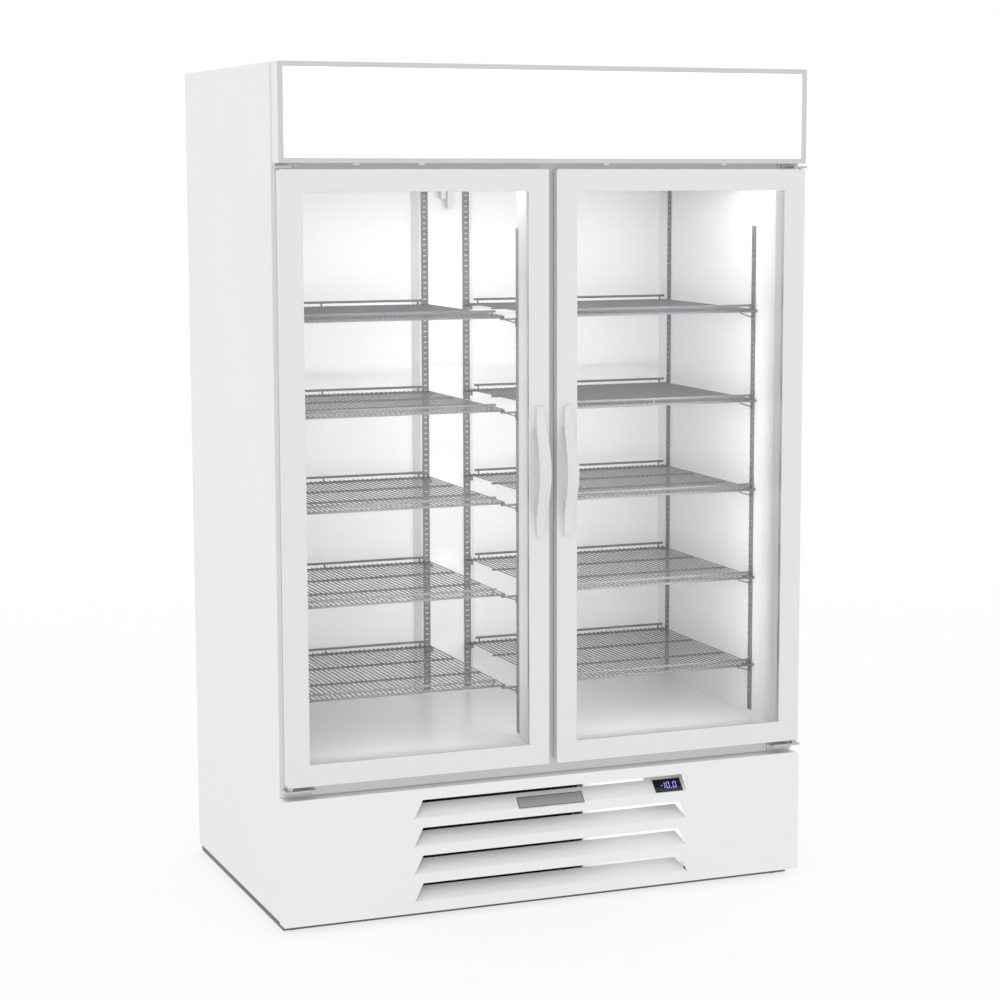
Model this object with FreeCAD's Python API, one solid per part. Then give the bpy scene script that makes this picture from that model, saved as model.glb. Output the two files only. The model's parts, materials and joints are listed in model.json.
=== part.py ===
"""Two-door upright glass door merchandiser, white, with a lit header sign and a bottom-mounted
refrigeration unit behind a louvred grille.

Millimetres, +Z up. The origin is the centre of the footprint on the floor. The doors face -Y
and +X is the customer's right. "Depth" values are measured backwards (+Y) from the front edge
of the side panels, so anything in front of the case has a negative depth.
"""

import FreeCAD, Part
import math
import os

V = FreeCAD.Vector

# ---- driving dimensions: overall case -------------------------------------------------------
CASE_HALF = 660.5          # half width over the side panels (52 in wide case)
CASE_DEPTH = 764.0         # side panel, front edge to back edge
CASE_TOP = 1998.0
BASE_BOTTOM = 5.0          # underside of the base frame, feet screwed in
PANEL_BOTTOM = 23.5        # bottom edge of the side and back panels
SKIN = 0.9                 # outer sheet metal
LINER = 0.9                # inner sheet metal
FIT = 0.1                  # assembly gap between neighbouring pieces

# ---- driving dimensions: doors --------------------------------------------------------------
DOOR_PROUD = 53.0          # door front ahead of the case front edge
DOOR_THICK = 24.0
DOOR_OUT = 656.5           # outer edge of each door from the centre line
DOOR_IN = 10.0             # inner edge of each door from the centre line
DOOR_Z0 = 356.0
DOOR_Z1 = 1762.0
WINDOW_OUT = 602.5
WINDOW_IN = 61.0
WINDOW_Z0 = 407.0
WINDOW_Z1 = 1711.0
GLASS_LIP = 4.0            # frame in front of the glass
GLASS_REBATE = 17.0        # glass hidden behind the lip
PANE = 4.0
HINGE_X = 647.0
HINGE_DEPTH = -45.0
PIN_R = 5.0
PIN_CLEARANCE = 0.05
BUSHING_R = 7.0
BUSHING_LENGTH = 30.0
SCREW_R = 2.0

# ---- driving dimensions: handle -------------------------------------------------------------
HANDLE_PROUD = 40.5        # middle of the strap ahead of the door
HANDLE_Z0 = 904.5
HANDLE_Z1 = 1212.0
HANDLE_X = 35.0
HANDLE_END_PROUD = 7.5
HANDLE_THICK = 6.5
HANDLE_PAD = 46.0          # length that rests on the door at each end
HANDLE_MID_W = 29.0
HANDLE_END_W = 17.0

# ---- driving dimensions: header sign, grille ------------------------------------------------
SIGN_PROUD = 57.0
SIGN_HALF = 656.5
SIGN_Z0 = 1775.0
SIGN_Z1 = 1998.5
SIGN_BORDER = 11.5
GRILLE_PROUD = 42.5
GRILLE_HALF = 665.0
GRILLE_Z0 = 24.5
GRILLE_Z1 = 323.0
GRILLE_CORNER_R = 11.0
LOUVRE_Z0 = 49.5           # fold line of the lowest louvre
LOUVRE_PITCH = 67.0
LOUVRE_COUNT = 4
LOUVRE_OPEN = 45.5         # height of the opening in the sheet
LOUVRE_HALF = 354.0        # half length at the fold line
LOUVRE_TOP_HALF = 332.0
LOUVRE_X = 6.0             # the row sits slightly right of centre
LOUVRE_BEND_R = 4.0
LOUVRE_LEAN = 45.0
LOUVRE_STRAIGHT = 40.0     # flap length up the slope, after the bend
DISPLAY_W = 72.5
DISPLAY_H = 36.0
DISPLAY_X = 312.0
DISPLAY_ALONG = 19.3       # display centre, up the leaning face
BADGE_W = 169.0
BADGE_H = 31.0
BADGE_X = 1.0
BADGE_ALONG = 12.0         # badge centre, up the leaning face
CARRIER_X0 = 256.0
CARRIER_X1 = 358.0

# ---- driving dimensions: cold space ---------------------------------------------------------
LINER_HALF = 625.0
LINER_BACK = 717.0         # depth of the inner back wall
FLOOR_Z = 385.0
CEILING_Z = 1946.0
OPENING_TOP = 1730.0
HEADER_WALL = 40.0
FLOOR_FOAM_Z0 = 335.0
BREAKER_PROUD = 15.0
BREAKER_HALF = 655.0
BREAKER_Z0 = 326.0
BREAKER_Z1 = SIGN_Z0 - FIT   # closes the front up to the sign
BREAKER_LIP = 3.0
BREAKER_LIP_DEPTH = 32.0
MULLION_HALF = 42.0
POST_HALF = 22.0
POST_DEPTH = 131.0
MULLION_WALL = 2.5
DUCT_DEPTH = 688.0
DUCT_FRONT_HALF = 70.0
DUCT_BACK_HALF = 83.0

# ---- driving dimensions: shelves ------------------------------------------------------------
TIERS = 5
TIER_PITCH = 224.0
TIER_Z0 = 515.3            # centre of the rods of the lowest shelf
SHELF_X0 = 52.5            # inner and outer ends of the rods
SHELF_X1 = 622.5
SHELF_FRONT = 129.0
SHELF_BACK = 669.0
CROSS_ROD_DEPTHS = (301.0, 490.0)
ROD_R = 3.0                # front, rear and stop rails
CROSS_ROD_R = 2.6
WIRE_D = 2.7               # across the flats
WIRE_PITCH = 12.7
WIRE_COUNT = 45
WIRE_OVERHANG = 4.5        # past the centres of the front and rear rods
WIRE_SEAT = 2.3            # underside of the surface wires above the rod centres
STOP_RISE = 14.2           # front lip rail and rear stop rail above the rods
FRONT_RAIL_ENDS = (75.0, 607.0)
REAR_RAIL_ENDS = (73.0, 617.0)
STOP_POSTS = (83.0, 342.0, 604.0)
STRUT_R = 1.6              # slanting wires of the front shelf clips
PILASTER_W = 18.0
PILASTER_D = 3.0
SLOT_PITCH = 14.0
SLOT_W = 8.0
SLOT_H = 4.0
PILASTER_Z0 = 396.0
FRONT_PILASTER_Z1 = 1622.0
REAR_PILASTER_Z1 = 1722.0
WALL_PILASTER_DEPTH = 150.0     # front channel on the side wall
POST_PILASTER_DEPTH = 121.5
WALL_REAR_PILASTER_DEPTH = 650.0
CENTRE_PILASTER_X = 57.0

# ---- driving dimensions: feet and moving fans -----------------------------------------------
FOOT_X = 628.0
FOOT_FRONT = 40.0
FOOT_REAR = 724.0
FOOT_R = 22.0
FOOT_DISC = 4.8
STEM_R = 5.0
STEM_TOP = 58.0
CONDENSER_FAN_X = -125.0
CONDENSER_FAN_Z = 172.0
CONDENSER_FAN_R = 112.0
EVAPORATOR_FAN_X = 250.0
EVAPORATOR_FAN_DEPTH = 235.0
EVAPORATOR_FAN_R = 92.0
SHAFT_R = 4.0

OVERALL_DEPTH = CASE_DEPTH + DOOR_PROUD + HANDLE_PROUD
FRONT = -OVERALL_DEPTH / 2 + DOOR_PROUD + HANDLE_PROUD
DOOR_FRONT = -DOOR_PROUD
DOOR_BACK = DOOR_FRONT + DOOR_THICK
COMPARTMENT_FLOOR = PANEL_BOTTOM - 0.2


# ---- basic shapes ---------------------------------------------------------------------------
def box(x0, x1, d0, d1, z0, z1):
    """Box from x, depth and z limits."""
    return Part.makeBox(x1 - x0, d1 - d0, z1 - z0, V(x0, FRONT + d0, z0))


def tube_z(x, depth, z0, z1, r):
    return Part.makeCylinder(r, z1 - z0, V(x, FRONT + depth, z0), V(0, 0, 1))


def rod_x(x0, x1, depth, z, r):
    return Part.makeCylinder(r, x1 - x0, V(x0, FRONT + depth, z), V(1, 0, 0))


def rod_y(x, d0, d1, z, r):
    return Part.makeCylinder(r, d1 - d0, V(x, FRONT + d0, z), V(0, 1, 0))


def mirrored(shape):
    """The same piece on the other side of the centre line."""
    return shape.mirror(V(0, 0, 0), V(1, 0, 0))


def moved(shape, x=0.0, y=0.0, z=0.0):
    copy = shape.copy()
    copy.translate(V(x, y, z))
    return copy


def fused(shapes):
    """One solid from overlapping shapes."""
    return shapes[0].multiFuse(shapes[1:]).removeSplitter()


def window_ring(x0, x1, z0, z1, ix0, ix1, iz0, iz1, d0, d1):
    """Rectangular ring between two rectangles, from depth d0 to d1."""
    return box(x0, x1, d0, d1, z0, z1).cut(box(ix0, ix1, d0 - 1, d1 + 1, iz0, iz1))


def prism(points, direction):
    """Solid swept from a closed outline along a vector."""
    wire = Part.makePolygon([V(*p) for p in points] + [V(*points[0])])
    return Part.Face(wire).extrude(V(*direction))


def bent_tube(points, r, bend):
    """Round tube along a polyline whose corners are bent to a radius."""
    points = [V(*p) for p in points]
    edges = []
    start = points[0]
    for before, corner, after in zip(points, points[1:], points[2:]):
        a = (before - corner).normalize()
        b = (after - corner).normalize()
        half = a.getAngle(b) / 2
        run = bend / math.tan(half)
        p0 = corner + a * run
        p2 = corner + b * run
        middle = corner + (a + b).normalize() * (bend / math.sin(half) - bend)
        edges.append(Part.makeLine(start, p0))
        edges.append(Part.Arc(p0, middle, p2).toShape())
        start = p2
    edges.append(Part.makeLine(start, points[-1]))
    path = Part.Wire(edges)
    heading = (points[1] - points[0]).normalize()
    ring = Part.Wire(Part.makeCircle(r, points[0], heading))
    return path.makePipeShell([ring], True, False)


# ---- outer case -----------------------------------------------------------------------------
def side_panel():
    """Left outer skin with folded front and back returns."""
    outer = box(-CASE_HALF, -CASE_HALF + 20, 0, CASE_DEPTH, PANEL_BOTTOM, CASE_TOP)
    inner = box(-CASE_HALF + SKIN, -CASE_HALF + 21, SKIN, CASE_DEPTH - SKIN,
                PANEL_BOTTOM - 1, CASE_TOP + 1)
    return outer.cut(inner)


def back_panel():
    """Flat skin with slots behind the refrigeration unit."""
    half = CASE_HALF - 20.5
    sheet = box(-half, half, CASE_DEPTH - SKIN, CASE_DEPTH, PANEL_BOTTOM, CASE_TOP)
    slots = []
    for column in range(4):
        for row in range(12):
            x = -480 + column * 250
            z = 80 + row * 18
            slots.append(box(x, x + 200, CASE_DEPTH - 3, CASE_DEPTH + 1, z, z + 7))
    return sheet.cut(Part.makeCompound(slots))


def top_panel():
    inset = CASE_HALF - SKIN - FIT
    return box(-inset, inset, SKIN + FIT, CASE_DEPTH - SKIN - FIT, CASE_TOP - SKIN, CASE_TOP)


def base_frame():
    """Upturned steel tray that carries the case, with four threaded foot bosses."""
    half = CASE_HALF - 5.5
    top = COMPARTMENT_FLOOR
    tray = box(-half, half, 4, CASE_DEPTH - 4, BASE_BOTTOM, top)
    tray = tray.cut(box(-half + 2, half - 2, 6, CASE_DEPTH - 6, BASE_BOTTOM - 1, top - 2))
    bosses = [tube_z(x, d, BASE_BOTTOM, top + 12, 13) for x, d in foot_places().values()]
    bores = [tube_z(x, d, 0, 80, STEM_R + PIN_CLEARANCE) for x, d in foot_places().values()]
    return fused([tray] + bosses).cut(Part.makeCompound(bores))


def foot_places():
    return {
        "foot_front_left": (-FOOT_X, FOOT_FRONT),
        "foot_front_right": (FOOT_X, FOOT_FRONT),
        "foot_back_left": (-FOOT_X, FOOT_REAR),
        "foot_back_right": (FOOT_X, FOOT_REAR),
    }


def foot(x, depth):
    """Levelling foot: a pad and its screw."""
    pad = tube_z(x, depth, 0, FOOT_DISC, FOOT_R)
    stem = tube_z(x, depth, FOOT_DISC - 1, STEM_TOP, STEM_R)
    return fused([pad, stem])


def insulation():
    """Foam core as six slabs: two sides, back, header wall, roof and floor."""
    side = box(-CASE_HALF + SKIN + FIT, -LINER_HALF - LINER - FIT, SKIN + FIT,
               CASE_DEPTH - SKIN - FIT, FLOOR_FOAM_Z0, CASE_TOP - SKIN - FIT)
    half = LINER_HALF + LINER
    back = box(-half, half, LINER_BACK + LINER + FIT, CASE_DEPTH - SKIN - FIT,
               FLOOR_FOAM_Z0, CASE_TOP - SKIN - FIT)
    header = box(-half, half, SKIN + FIT, HEADER_WALL, OPENING_TOP + LINER + FIT,
                 CASE_TOP - SKIN - FIT)
    roof = box(-half, half, HEADER_WALL + FIT, LINER_BACK + LINER, CEILING_Z + LINER + FIT,
               CASE_TOP - SKIN - FIT)
    floor = box(-half, half, SKIN + FIT, LINER_BACK + LINER, FLOOR_FOAM_Z0,
                FLOOR_Z - LINER - FIT)
    floor = floor.cut(tube_z(0, DRAIN_DEPTH, FLOOR_FOAM_Z0 - 1, FLOOR_Z, DRAIN_R + FIT))
    return [side, mirrored(side), back, header, roof, floor]


def inner_liner():
    """White sheet lining of the cold space, open at the front below the header wall."""
    half = LINER_HALF
    shell = box(-half - LINER, half + LINER, 0.2, LINER_BACK + LINER,
                FLOOR_Z - LINER, CEILING_Z + LINER)
    shell = shell.cut(box(-half, half, -1, LINER_BACK, FLOOR_Z, CEILING_Z))
    above = box(-half - 9, half + 9, -1, HEADER_WALL + FIT, OPENING_TOP + LINER, CASE_TOP)
    shell = shell.cut(above)
    wall = box(-half - 0.5, half + 0.5, HEADER_WALL + FIT, HEADER_WALL + FIT + LINER,
               OPENING_TOP, CEILING_Z + 0.5)
    sill = box(-half - 0.5, half + 0.5, 0.2, HEADER_WALL + FIT + LINER, OPENING_TOP,
               OPENING_TOP + LINER)
    drain = tube_z(0, DRAIN_DEPTH, FLOOR_Z - 5, FLOOR_Z + 5, DRAIN_R + FIT)
    return fused([shell, wall, sill]).cut(drain)


def breaker_frame():
    """Four plastic strips around the opening: a flat the gasket seals on and an inner lip."""
    inner_half = LINER_HALF - BREAKER_LIP
    z0 = FLOOR_Z + BREAKER_LIP
    z1 = OPENING_TOP - BREAKER_LIP
    left = fused([
        box(-BREAKER_HALF, -inner_half, -BREAKER_PROUD, -FIT, BREAKER_Z0, BREAKER_Z1),
        box(-LINER_HALF + FIT, -inner_half, -1, BREAKER_LIP_DEPTH, FLOOR_Z + FIT,
            OPENING_TOP - FIT),
    ])
    half = inner_half - FIT
    bottom = fused([
        box(-half, half, -BREAKER_PROUD, -FIT, BREAKER_Z0, z0),
        box(-half, half, -1, BREAKER_LIP_DEPTH, FLOOR_Z + FIT, z0),
    ])
    top = fused([
        box(-half, half, -BREAKER_PROUD, -FIT, z1, BREAKER_Z1),
        box(-half, half, -1, BREAKER_LIP_DEPTH, z1, OPENING_TOP - FIT),
    ])
    return [left, mirrored(left), bottom, top]


def center_mullion():
    """Hollow post between the doors: a wide front flat and a narrow box behind it.

    The rear corners of the box step in, so that its slotted channels lie flush.
    """
    z0 = FLOOR_Z + BREAKER_LIP + FIT
    z1 = OPENING_TOP - BREAKER_LIP - FIT
    wall = MULLION_WALL
    step = POST_PILASTER_DEPTH - PILASTER_W / 2 - FIT
    tail_half = POST_HALF - PILASTER_D - FIT

    def column(half, d0, d1, margin):
        return box(-half, half, d0, d1, z0 - margin, z1 + margin)

    outer = fused([column(MULLION_HALF, -BREAKER_PROUD, 8, 0),
                   column(POST_HALF, 7, step, 0),
                   column(tail_half, step - 1, POST_DEPTH, 0)])
    core = fused([column(MULLION_HALF - wall, -BREAKER_PROUD + wall, 8 - wall, 1),
                  column(POST_HALF - wall, 0, step - wall, 1),
                  column(tail_half - wall, 1, POST_DEPTH - wall, 1)])
    return outer.cut(core)


def rear_duct():
    """Return-air column on the back wall, with tapered sides."""
    def column(front_half, back_half, d0, d1, z0, z1):
        outline = [(-front_half, FRONT + d0, z0), (front_half, FRONT + d0, z0),
                   (back_half, FRONT + d1, z0), (-back_half, FRONT + d1, z0)]
        return prism(outline, (0, 0, z1 - z0))

    z0 = FLOOR_Z + FIT
    z1 = OPENING_TOP - 2
    outer = column(DUCT_FRONT_HALF, DUCT_BACK_HALF, DUCT_DEPTH, LINER_BACK - FIT, z0, z1)
    inner = column(DUCT_FRONT_HALF - 1.5, DUCT_BACK_HALF - 1.5, DUCT_DEPTH + 1.5,
                   LINER_BACK + 1, z0 - 1, z1 + 1)
    return outer.cut(inner)


# ---- header sign ----------------------------------------------------------------------------
def header_housing():
    """Sheet metal box that holds the sign lamps, with four clips under its front edge."""
    back = -FIT
    front = -SIGN_PROUD + 7
    outer = box(-SIGN_HALF, SIGN_HALF, front, back, SIGN_Z0, SIGN_Z1)
    inner = box(-SIGN_HALF + SKIN, SIGN_HALF - SKIN, front - 1, back - SKIN,
                SIGN_Z0 + SKIN, SIGN_Z1 - SKIN)
    clips = [box(x - 7, x + 7, front, front + 10, SIGN_Z0 - 4, SIGN_Z0 + 0.5)
             for x in (-475, -320, 135, 440)]
    return fused([outer.cut(inner)] + clips)


def sign_frame():
    """Narrow rounded bezel around the sign."""
    inner_half = SIGN_HALF - SIGN_BORDER
    ring = window_ring(-SIGN_HALF, SIGN_HALF, SIGN_Z0, SIGN_Z1, -inner_half, inner_half,
                       SIGN_Z0 + SIGN_BORDER, SIGN_Z1 - SIGN_BORDER,
                       -SIGN_PROUD, -SIGN_PROUD + 7 - FIT)
    return round_vertical_edges(ring, SIGN_HALF, SIGN_Z0, SIGN_Z1, 4)


def round_vertical_edges(ring, half, z0, z1, radius, x_centre=0.0):
    """Round the four outer corners of a front frame, whose edges run in depth."""
    corners = []
    for edge in ring.Edges:
        a, b = edge.Vertexes[0].Point, edge.Vertexes[-1].Point
        along_depth = abs(a.x - b.x) < 0.01 and abs(a.z - b.z) < 0.01
        outside = abs(abs(a.x - x_centre) - half) < 0.01
        level = min(abs(a.z - z0), abs(a.z - z1)) < 0.01
        if along_depth and outside and level:
            corners.append(edge)
    return ring.makeFillet(radius, corners)


def sign_panel():
    """Translucent white sign face."""
    front = -SIGN_PROUD + 7
    return box(-SIGN_HALF + 4, SIGN_HALF - 4, front, front + 3, SIGN_Z0 + 4, SIGN_Z1 - 4)


def lamp_tube(x_half, depth, z, r):
    """LED tube with its two end holders."""
    tube = rod_x(-x_half, x_half, depth, z, r)
    holders = [box(s * x_half - 9, s * x_half + 9, depth - r - 3, depth + r + 3,
                   z - r - 3, z + r + 3) for s in (-1, 1)]
    return fused([tube] + holders)


def sign_lamps():
    return [lamp_tube(600, -22, z, 8) for z in (1846, 1926)]


# ---- grille ---------------------------------------------------------------------------------
def louvre_profile(z0, straight):
    """Side view of one flap: tangent to the sheet at the fold, then leaning inwards."""
    lean = math.radians(LOUVRE_LEAN)
    front = FRONT - GRILLE_PROUD

    def arc_point(radius, angle):
        centre_y = front + LOUVRE_BEND_R
        return V(0, centre_y - radius * math.cos(angle), z0 + radius * math.sin(angle))

    outer_r = LOUVRE_BEND_R
    inner_r = LOUVRE_BEND_R - SKIN
    run = V(0, math.sin(lean), math.cos(lean)) * straight
    outer = [arc_point(outer_r, a) for a in (0, lean / 2, lean)]
    inner = [arc_point(inner_r, a) for a in (0, lean / 2, lean)]
    foot_drop = V(0, 0, -1.0)
    edges = [
        Part.makeLine(outer[0] + foot_drop, outer[0]),
        Part.Arc(*outer).toShape(),
        Part.makeLine(outer[2], outer[2] + run),
        Part.makeLine(outer[2] + run, inner[2] + run),
        Part.makeLine(inner[2] + run, inner[2]),
        Part.Arc(inner[2], inner[1], inner[0]).toShape(),
        Part.makeLine(inner[0], inner[0] + foot_drop),
        Part.makeLine(inner[0] + foot_drop, outer[0] + foot_drop),
    ]
    return Part.Face(Part.Wire(edges))


def louvre_rise():
    lean = math.radians(LOUVRE_LEAN)
    return LOUVRE_BEND_R * math.sin(lean) + LOUVRE_STRAIGHT * math.cos(lean)


def louvre_opening(z0, x1_bottom, x1_top, top):
    """Trapezoid cut in the sheet, from its fold line up to z0 + top."""
    x0 = LOUVRE_X - LOUVRE_HALF
    x0_top = LOUVRE_X - LOUVRE_TOP_HALF
    outline = [(x0, 0, z0), (x1_bottom, 0, z0), (x1_top, 0, z0 + top), (x0_top, 0, z0 + top)]
    return moved(prism(outline, (0, 120, 0)), y=FRONT - GRILLE_PROUD - 20)


def louvre_flap(z0, x1_bottom, x1_top):
    strip = moved(louvre_profile(z0, LOUVRE_STRAIGHT).extrude(V(720, 0, 0)), x=-354)
    clip = louvre_opening(z0 - 1.0, x1_bottom, x1_top, louvre_rise() + 1.0)
    return strip.common(clip)


def display_carrier(z0):
    """Taller leaning strip of the top louvre that holds the temperature display."""
    tall = LOUVRE_STRAIGHT + (LOUVRE_OPEN - louvre_rise()) * math.sqrt(2) - 2
    face = louvre_profile(z0, tall)
    return moved(face.extrude(V(CARRIER_X1 - CARRIER_X0, 0, 0)), x=CARRIER_X0)


def top_louvre_z():
    return LOUVRE_Z0 + (LOUVRE_COUNT - 1) * LOUVRE_PITCH


def leaning(shape, z_along):
    """Place a piece drawn upright at the origin on the top louvre's leaning face.

    z_along is the distance from the start of the flap's straight part up its slope.
    """
    lean = math.radians(LOUVRE_LEAN)
    placed = shape.copy()
    placed.rotate(V(0, 0, 0), V(1, 0, 0), -LOUVRE_LEAN)
    y = FRONT - GRILLE_PROUD + LOUVRE_BEND_R * (1 - math.cos(lean)) + z_along * math.sin(lean)
    z = top_louvre_z() + LOUVRE_BEND_R * math.sin(lean) + z_along * math.cos(lean)
    placed.translate(V(0, y, z))
    return placed


def display_body(margin):
    """Controller body, drawn upright with its face just in front of y = 0."""
    w = DISPLAY_W / 2 - 4 + margin
    h = DISPLAY_H / 2 - 3 + margin
    return Part.makeBox(2 * w, 26, 2 * h, V(DISPLAY_X - w, -1, -h))


def grille_panel():
    """Folded front cover with four louvres, each a flap pressed inwards from its lower edge."""
    outer = box(-GRILLE_HALF, GRILLE_HALF, -GRILLE_PROUD, -1, GRILLE_Z0, GRILLE_Z1)
    outer = round_vertical_edges(outer, GRILLE_HALF, GRILLE_Z1, GRILLE_Z1, GRILLE_CORNER_R)
    half = GRILLE_HALF - SKIN
    inner = box(-half, half, -GRILLE_PROUD + SKIN, 1, GRILLE_Z0 + SKIN, GRILLE_Z1 - SKIN)
    inner = round_vertical_edges(inner, half, GRILLE_Z1 - SKIN, GRILLE_Z1 - SKIN,
                                 GRILLE_CORNER_R - SKIN)
    panel = outer.cut(inner)
    flaps = []
    for i in range(LOUVRE_COUNT):
        z0 = LOUVRE_Z0 + i * LOUVRE_PITCH
        is_top = i == LOUVRE_COUNT - 1
        x1 = LOUVRE_X + LOUVRE_HALF
        x1_top = x1 if is_top else LOUVRE_X + LOUVRE_TOP_HALF
        panel = panel.cut(louvre_opening(z0, x1, x1_top, LOUVRE_OPEN))
        flap_x1 = CARRIER_X0 + 1 if is_top else x1
        flap_top = CARRIER_X0 + 1 if is_top else x1_top
        flaps.append(louvre_flap(z0, flap_x1, flap_top))
    flaps.append(display_carrier(top_louvre_z()))
    panel = fused([panel] + flaps)
    return panel.cut(leaning(display_body(0.5), DISPLAY_ALONG))


def display_module():
    """Digital temperature display: a thin face on the louvre and a body behind it."""
    face = Part.makeBox(DISPLAY_W, 2, DISPLAY_H, V(DISPLAY_X - DISPLAY_W / 2, -2, -DISPLAY_H / 2))
    return leaning(fused([face, display_body(0)]), DISPLAY_ALONG)


def badge_plate():
    """Blank rectangular plate on the top louvre."""
    plate = Part.makeBox(BADGE_W, 1.5, BADGE_H, V(BADGE_X - BADGE_W / 2, -1.5, -BADGE_H / 2))
    return leaning(plate, BADGE_ALONG)


# ---- doors ----------------------------------------------------------------------------------
def door_frame():
    """Left door frame: a rounded ring with a rebate for the glass and two bushing bores."""
    x0, x1 = -DOOR_OUT, -DOOR_IN
    ring = window_ring(x0, x1, DOOR_Z0, DOOR_Z1, -WINDOW_OUT, -WINDOW_IN, WINDOW_Z0, WINDOW_Z1,
                       DOOR_FRONT, DOOR_BACK)
    rebate = box(-WINDOW_OUT - GLASS_REBATE, -WINDOW_IN + GLASS_REBATE,
                 DOOR_FRONT + GLASS_LIP, DOOR_BACK + 1,
                 WINDOW_Z0 - GLASS_REBATE, WINDOW_Z1 + GLASS_REBATE)
    ring = ring.cut(rebate)
    ring = round_vertical_edges(ring, (x1 - x0) / 2, DOOR_Z0, DOOR_Z1, 4.5, (x0 + x1) / 2)
    for z in (DOOR_Z0 - 1, DOOR_Z1 - BUSHING_LENGTH):
        ring = ring.cut(tube_z(-HINGE_X, HINGE_DEPTH, z, z + BUSHING_LENGTH + 1, BUSHING_R))
    return ring


def door_bushings():
    """Two plastic sleeves that the hinge pins turn in."""
    sleeves = []
    for z in (DOOR_Z0, DOOR_Z1 - BUSHING_LENGTH):
        sleeve = tube_z(-HINGE_X, HINGE_DEPTH, z, z + BUSHING_LENGTH, BUSHING_R)
        bore = tube_z(-HINGE_X, HINGE_DEPTH, z - 1, z + BUSHING_LENGTH + 1,
                      PIN_R + PIN_CLEARANCE)
        sleeves.append(sleeve.cut(bore))
    return sleeves


def door_glass():
    """Two panes of the sealed glass unit."""
    out = WINDOW_OUT + GLASS_REBATE - FIT
    inn = WINDOW_IN - GLASS_REBATE + FIT
    z0 = WINDOW_Z0 - GLASS_REBATE + FIT
    z1 = WINDOW_Z1 + GLASS_REBATE - FIT
    front = DOOR_FRONT + GLASS_LIP + FIT
    back = DOOR_BACK - FIT
    return [box(-out, -inn, front, front + PANE, z0, z1),
            box(-out, -inn, back - PANE, back, z0, z1)]


def door_spacer():
    """Spacer frame between the panes."""
    out = WINDOW_OUT + GLASS_REBATE - 2
    inn = WINDOW_IN - GLASS_REBATE + 2
    z0 = WINDOW_Z0 - GLASS_REBATE + 2
    z1 = WINDOW_Z1 + GLASS_REBATE - 2
    width = 11
    return window_ring(-out, -inn, z0, z1, -out + width, -inn - width, z0 + width, z1 - width,
                       DOOR_FRONT + GLASS_LIP + 2 * FIT + PANE, DOOR_BACK - 2 * FIT - PANE)


def door_gasket():
    """Magnetic bellows gasket on the back of the door, just clear of the sealing flats."""
    x0, x1 = -HINGE_X + 2, -14
    z0, z1 = DOOR_Z0 + 5, DOOR_Z1 - 5
    width = 31
    front, back = DOOR_BACK + FIT, -BREAKER_PROUD - 1
    ring = window_ring(x0, x1, z0, z1, x0 + width, x1 - width, z0 + width, z1 - width,
                       front, back)
    groove = window_ring(x0 - 1, x1 + 1, z0 - 1, z1 + 1, x0 + 5, x1 - 5, z0 + 5, z1 - 5,
                         front + 3, back - 4)
    return ring.cut(groove)


def handle_standoff(t):
    """Distance of the strap's front from the door, at a share t of its length."""
    bow = (1 - math.cos(2 * math.pi * t)) / 2
    return HANDLE_END_PROUD + (HANDLE_PROUD - HANDLE_END_PROUD) * bow


def handle_curve(offset, t0, t1, steps):
    """Smooth curve of the strap in the depth and height plane."""
    length = HANDLE_Z1 - HANDLE_Z0
    points = []
    for i in range(steps + 1):
        t = t0 + (t1 - t0) * i / steps
        y = FRONT + DOOR_FRONT - handle_standoff(t) + offset
        points.append(V(0, y, HANDLE_Z0 + t * length))
    curve = Part.BSplineCurve()
    curve.interpolate(points)
    return curve.toShape(), points[0], points[-1]


def door_handle():
    """Bowed strap pull with a pad at each end, wider in the middle."""
    length = HANDLE_Z1 - HANDLE_Z0
    door = FRONT + DOOR_FRONT
    share = (HANDLE_PAD + 6) / length
    front, f0, f1 = handle_curve(0, 0, 1, 24)
    back, b0, b1 = handle_curve(HANDLE_THICK, share, 1 - share, 16)
    low = V(0, door, HANDLE_Z0)
    high = V(0, door, HANDLE_Z1)
    pad_low = V(0, door, HANDLE_Z0 + HANDLE_PAD)
    pad_high = V(0, door, HANDLE_Z1 - HANDLE_PAD)
    wire = Part.Wire([
        Part.makeLine(low, f0), front, Part.makeLine(f1, high), Part.makeLine(high, pad_high),
        Part.makeLine(pad_high, b1), back, Part.makeLine(b0, pad_low),
        Part.makeLine(pad_low, low),
    ])
    width = HANDLE_MID_W
    side_view = Part.Face(wire).extrude(V(width, 0, 0))
    side_view.translate(V(-HANDLE_X - width / 2, 0, 0))
    middle = (HANDLE_Z0 + HANDLE_Z1) / 2

    def edge_arc(side):
        return Part.Arc(V(side * HANDLE_END_W / 2, 0, HANDLE_Z0),
                        V(side * HANDLE_MID_W / 2, 0, middle),
                        V(side * HANDLE_END_W / 2, 0, HANDLE_Z1)).toShape()

    left, right = edge_arc(-1), edge_arc(1)
    bottom = Part.makeLine(V(-HANDLE_END_W / 2, 0, HANDLE_Z0), V(HANDLE_END_W / 2, 0, HANDLE_Z0))
    top = Part.makeLine(V(-HANDLE_END_W / 2, 0, HANDLE_Z1), V(HANDLE_END_W / 2, 0, HANDLE_Z1))
    front_view = Part.Face(Part.Wire(Part.__sortEdges__([left, top, right, bottom])))
    outline = front_view.extrude(V(0, 120, 0))
    outline.translate(V(-HANDLE_X, door - 100, 0))
    return side_view.common(outline)


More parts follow.
